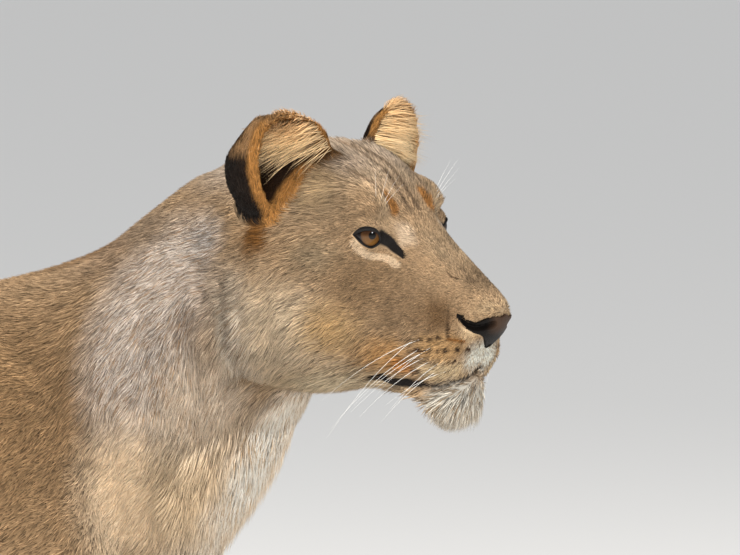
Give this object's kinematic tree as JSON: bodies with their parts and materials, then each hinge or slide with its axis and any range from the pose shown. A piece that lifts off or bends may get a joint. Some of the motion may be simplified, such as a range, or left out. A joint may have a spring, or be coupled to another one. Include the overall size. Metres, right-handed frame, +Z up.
{
  "type": "lioness",
  "caption": "Life-size lioness standing at rest, head raised and turned a little to her right, tail hanging.",
  "frame": {"origin": "on the floor, under the middle of the box round the whole animal", "axes": "+X from the tail to the head, +Y to her left, +Z up"},
  "size_m": [2.0092, 0.4028, 1.1778],
  "materials": {
    "coat": "short tawny fur, grizzled with fine dark and pale hairs",
    "ear": "short fur, black on the back, with long cream hairs in the cup",
    "eye": "wet amber eye with a round black pupil",
    "nose": "black finely pebbled nose leather, slightly moist",
    "tail_tuft": "long dark brown to black hair"
  },
  "bodies": {
    "root": {"head": "coat", "lower_jaw": "coat", "neck": "coat", "chest": "coat", "belly": "coat", "rump": "coat", "foreleg_left": "coat", "foreleg_right": "coat", "forepaw_left": "coat", "forepaw_right": "coat", "hindleg_left": "coat", "hindleg_right": "coat", "hindpaw_left": "coat", "hindpaw_right": "coat", "ear_left": "ear", "eye_left": "eye", "ear_right": "ear", "eye_right": "eye", "nose": "nose", "tail_base": "coat", "tail_middle": "coat", "tail_end": "tail_tuft"}
  },
  "joints": []
}
